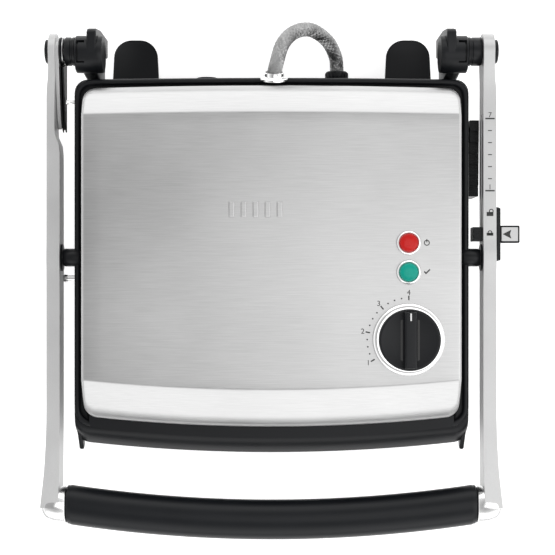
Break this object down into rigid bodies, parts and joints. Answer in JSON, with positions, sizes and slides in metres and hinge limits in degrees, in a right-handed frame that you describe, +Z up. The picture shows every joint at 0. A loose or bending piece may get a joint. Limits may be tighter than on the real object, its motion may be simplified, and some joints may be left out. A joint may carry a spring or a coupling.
{
  "type": "panini press",
  "caption": "Contact grill: a ribbed upper plate hung in cast arms over a flat lower plate, with a bowed handle, heat dial, lamps and height slider.",
  "frame": {"origin": "bottom centre of the box round the whole appliance, at table height", "axes": "+X to the right of a person facing the handle's side, +Y from the handle to the hinge, +Z up"},
  "size_m": [0.3698, 0.4054, 0.1454],
  "materials": {
    "black_plastic": "moulded, fine matt grain",
    "brushed_steel": "brushed stainless sheet, grain across the width",
    "cast_alloy": "die-cast, satin",
    "chrome": "polished",
    "soft_grip": "soft-touch skin, matt",
    "nonstick": "cast plate with a dark non-stick coat",
    "rubber": "matt",
    "bright_steel": "plain bright steel",
    "element_alloy": "heat-darkened tube",
    "braided_steel": "fine metal braid over a flexible sleeve",
    "red_lens": "translucent red",
    "green_lens": "translucent blue-green",
    "ceramic_white": "off-white ceramic"
  },
  "bodies": {
    "base": {"base_shell": "black_plastic", "base_trim_band": "brushed_steel", "base_rim": "black_plastic", "foot_front_left": "rubber", "foot_front_right": "rubber", "foot_rear_left": "rubber", "foot_rear_right": "rubber", "lower_grill_plate": "nonstick", "drain_duct": "black_plastic", "lower_heating_element": "element_alloy", "lower_heat_reflector": "bright_steel", "terminal_block": "ceramic_white", "lead_gland": "black_plastic", "mains_inlet_gland": "black_plastic", "cord_lug_left": "black_plastic", "cord_lug_right": "black_plastic", "hinge_tower_left": "black_plastic", "hinge_tower_right": "black_plastic", "hinge_collar_left": "black_plastic", "hinge_collar_right": "black_plastic", "hinge_pin_left": "bright_steel", "hinge_pin_right": "bright_steel", "left_guide_plate": "bright_steel", "height_ramp": "black_plastic", "braided_lead": "braided_steel"},
    "arms": {"left_arm": "cast_alloy", "right_arm": "cast_alloy", "grip": "soft_grip", "handle_core": "bright_steel", "hinge_cap_left": "black_plastic", "hinge_cap_right": "black_plastic", "pivot_washer_left": "black_plastic", "pivot_washer_right": "black_plastic"},
    "lid": {"lid_frame": "black_plastic", "lid_cover": "brushed_steel", "upper_grill_plate": "nonstick", "upper_heating_element": "element_alloy", "upper_heat_reflector": "bright_steel", "thermostat": "ceramic_white", "power_lamp_bezel": "chrome", "power_lamp_lens": "red_lens", "ready_lamp_bezel": "chrome", "ready_lamp_lens": "green_lens", "rear_guide_pin": "chrome", "tilt_stop_pin": "chrome", "pivot_boss_left": "black_plastic", "pivot_boss_right": "black_plastic", "pivot_pin_left": "bright_steel", "pivot_pin_right": "bright_steel", "lid_grommet": "chrome", "dial_bezel": "chrome"},
    "slider": {"slider_plate": "black_plastic", "slider_bridge": "bright_steel", "slider_button": "cast_alloy", "slider_finger": "black_plastic"},
    "dial": {"dial_knob": "black_plastic", "dial_shaft": "bright_steel"},
    "tray": {"drip_tray": "black_plastic"}
  },
  "joints": [
    {"name": "arm_hinge", "type": "hinge", "parent": "base", "child": "arms", "pos_m": [-0.0071, 0.17683, 0.092], "axis": [-1, 0, 0], "range_deg": [0, 95], "deforming": ["braided_lead"]},
    {"name": "lid_pivot", "type": "hinge", "parent": "arms", "child": "lid", "pos_m": [-0.0071, 0.01683, 0.092], "axis": [1, 0, 0], "range_deg": [0, 11.5]},
    {"name": "height_slide", "type": "slide", "parent": "arms", "child": "slider", "axis": [0, 1, 0], "range_m": [0, 0.088]},
    {"name": "dial_turn", "type": "hinge", "parent": "lid", "child": "dial", "pos_m": [0.0959, -0.04517, 0.128], "axis": [0, 0, 1], "range_deg": [0, 130]},
    {"name": "tray_slide", "type": "slide", "parent": "base", "child": "tray", "axis": [0, -1, 0], "range_m": [0, 0.06]}
  ],
  "couplings": [
    {"joint": "lid_pivot", "follows": "arm_hinge", "ratio": 0.12}
  ]
}
